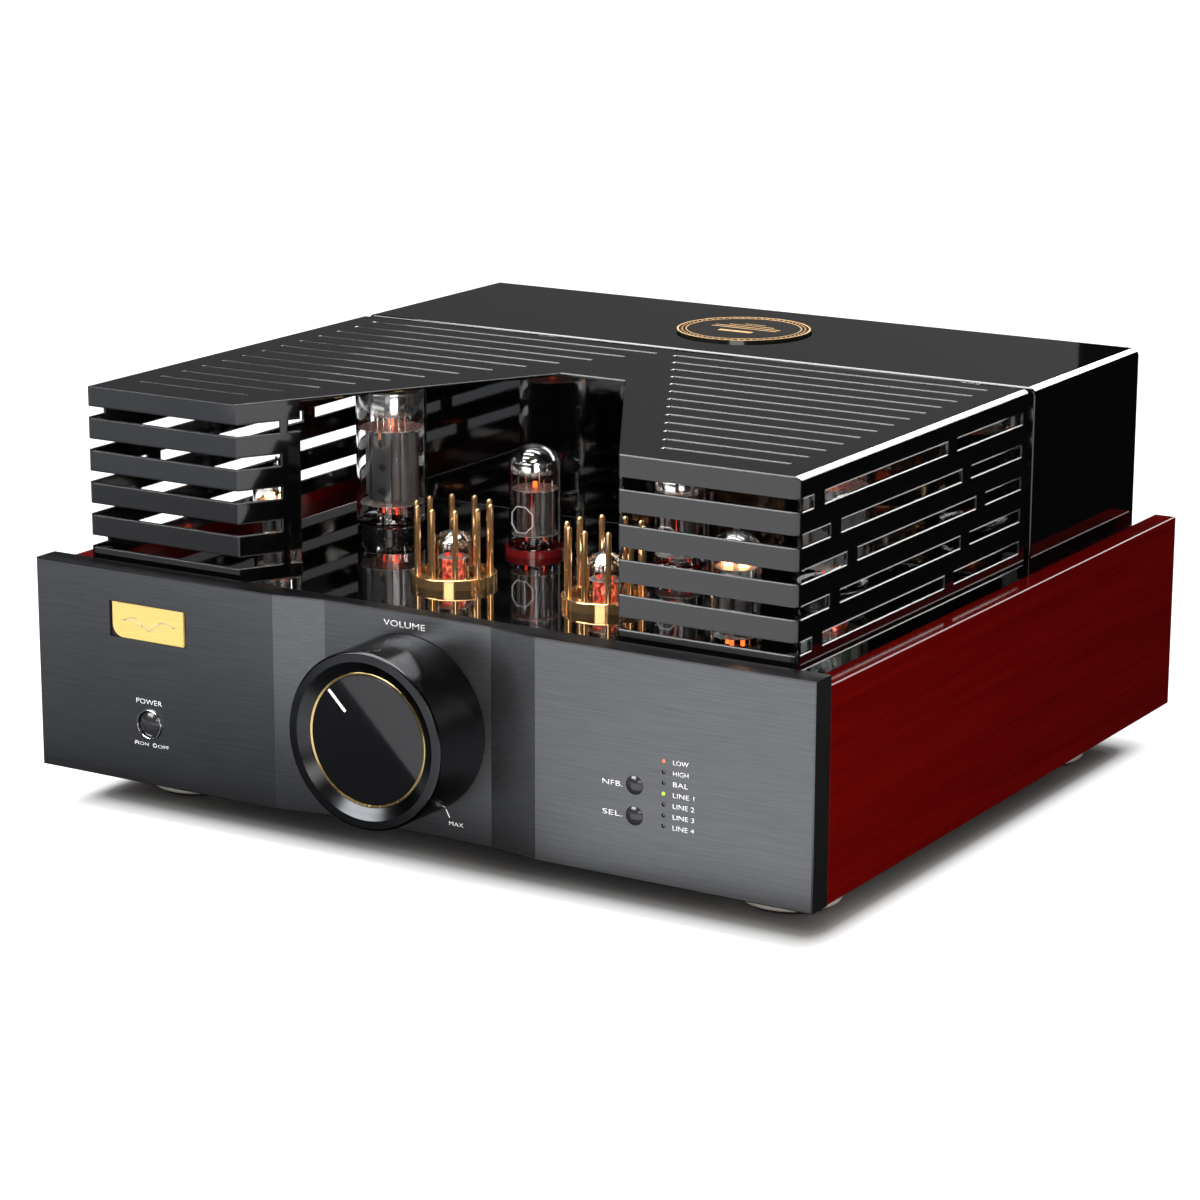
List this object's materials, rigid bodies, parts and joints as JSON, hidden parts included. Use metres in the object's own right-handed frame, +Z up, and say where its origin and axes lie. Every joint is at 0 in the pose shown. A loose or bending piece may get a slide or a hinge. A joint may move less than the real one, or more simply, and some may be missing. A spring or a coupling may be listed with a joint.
{
  "type": "tube amplifier",
  "caption": "Stereo tube amplifier with brushed front panel, large volume knob, wood sides, slotted black tube cage open at the front, gold tube guards and a rear transformer cover.",
  "frame": {"origin": "on the floor under the middle of the whole outline", "axes": "+X to the right as seen from the front, +Y to the back, +Z up; the knob is at -Y"},
  "size_m": [0.42, 0.4384, 0.2062],
  "materials": {
    "panel_aluminium": "brushed, dark grey anodised",
    "gold_plate": "polished gold",
    "chrome": "polished",
    "button_black": "gloss",
    "dark_plastic": "moulded",
    "lamp_lens": "clear lens",
    "circuit_board": "solder mask",
    "knob_aluminium": "turned, black anodised",
    "dial_glass": "polished black",
    "dial_white": "white",
    "steel": "plain",
    "chassis_steel": "black powder coat",
    "gloss_black": "mirror gloss",
    "cage_black": "gloss",
    "medallion": "black enamel with gold lines",
    "wood": "gloss lacquer, red-brown",
    "rubber": "matte",
    "foot_metal": "champagne anodised",
    "core_iron": "varnished laminations",
    "winding": "taped copper winding",
    "capacitor_sleeve": "sleeve",
    "socket_ceramic": "glazed",
    "guard_gold": "polished gold",
    "tube_glass": "clear",
    "anode_metal": "carbonised",
    "base_black": "moulded",
    "base_brown": "moulded, red-brown",
    "connector_gold": "gold plated",
    "connector_black": "satin"
  },
  "bodies": {
    "case": {"front_panel": "panel_aluminium", "badge_plate": "gold_plate", "power_ring": "chrome", "power_switch": "dark_plastic", "button_switches": "dark_plastic", "indicator_lamps": "lamp_lens", "switch_board": "circuit_board", "volume_pot": "steel", "pot_nut": "steel", "chassis_frame": "chassis_steel", "bottom_plate": "chassis_steel", "deck_plate": "gloss_black", "rear_panel": "chassis_steel", "wood_side_left": "wood", "wood_side_right": "wood", "transformer_cover": "gloss_black", "cover_medallion": "medallion", "feet": "foot_metal", "foot_pads": "rubber", "mains_core": "core_iron", "mains_coil": "winding", "output_cores": "core_iron", "output_coils": "winding", "filter_capacitors": "capacitor_sleeve", "main_board": "circuit_board", "octal_sockets": "socket_ceramic", "nine_pin_sockets": "socket_ceramic", "guard_ring_left": "guard_gold", "guard_ring_right": "guard_gold", "power_tube_glass_left": "tube_glass", "power_tube_glass_right": "tube_glass", "power_tube_bases": "base_black", "power_tube_plates": "anode_metal", "octal_tube_glass_left": "tube_glass", "octal_tube_glass_right": "tube_glass", "octal_tube_bases": "base_brown", "octal_tube_plates": "anode_metal", "small_tube_glass": "tube_glass", "small_tube_plates": "anode_metal", "mains_inlet": "dark_plastic", "phono_sockets": "connector_gold", "balanced_sockets": "connector_black", "speaker_posts": "connector_gold", "rear_screws": "steel", "bottom_screws": "steel"},
    "volume_knob": {"volume_knob": "knob_aluminium", "knob_ring": "gold_plate", "knob_glass": "dial_glass", "knob_pointer": "dial_white", "knob_screw": "steel", "volume_shaft": "steel"},
    "power_button": {"power_button": "button_black"},
    "feedback_button": {"feedback_button": "button_black"},
    "source_button": {"source_button": "button_black"},
    "tube_cage": {"tube_cage": "cage_black", "cage_pads": "rubber"},
    "post_cap_one": {"post_cap_one": "connector_gold"},
    "post_cap_two": {"post_cap_two": "connector_gold"},
    "post_cap_three": {"post_cap_three": "connector_gold"},
    "post_cap_four": {"post_cap_four": "connector_gold"}
  },
  "joints": [
    {"name": "volume_turn", "type": "hinge", "parent": "case", "child": "volume_knob", "pos_m": [0, -0.18925, 0.0717], "axis": [0, 1, 0], "range_deg": [-105, 195]},
    {"name": "power_press", "type": "slide", "parent": "case", "child": "power_button", "axis": [0, 1, 0], "range_m": [-0.0035, 0]},
    {"name": "feedback_press", "type": "slide", "parent": "case", "child": "feedback_button", "axis": [0, 1, 0], "range_m": [0, 0.0015], "stiffness_N_per_m": 400},
    {"name": "source_press", "type": "slide", "parent": "case", "child": "source_button", "axis": [0, 1, 0], "range_m": [0, 0.0015], "stiffness_N_per_m": 400},
    {"name": "cage_lift", "type": "slide", "parent": "case", "child": "tube_cage", "axis": [0, 0, 1], "range_m": [0, 0.09]},
    {"name": "post_cap_one_turn", "type": "hinge", "parent": "case", "child": "post_cap_one", "pos_m": [-0.112, 0.21125, 0.0665], "axis": [0, 1, 0], "range_deg": [0, 1080]},
    {"name": "post_cap_two_turn", "type": "hinge", "parent": "case", "child": "post_cap_two", "pos_m": [-0.088, 0.21125, 0.0665], "axis": [0, 1, 0], "range_deg": [0, 1080]},
    {"name": "post_cap_three_turn", "type": "hinge", "parent": "case", "child": "post_cap_three", "pos_m": [-0.046, 0.21125, 0.0665], "axis": [0, 1, 0], "range_deg": [0, 1080]},
    {"name": "post_cap_four_turn", "type": "hinge", "parent": "case", "child": "post_cap_four", "pos_m": [-0.022, 0.21125, 0.0665], "axis": [0, 1, 0], "range_deg": [0, 1080]}
  ]
}
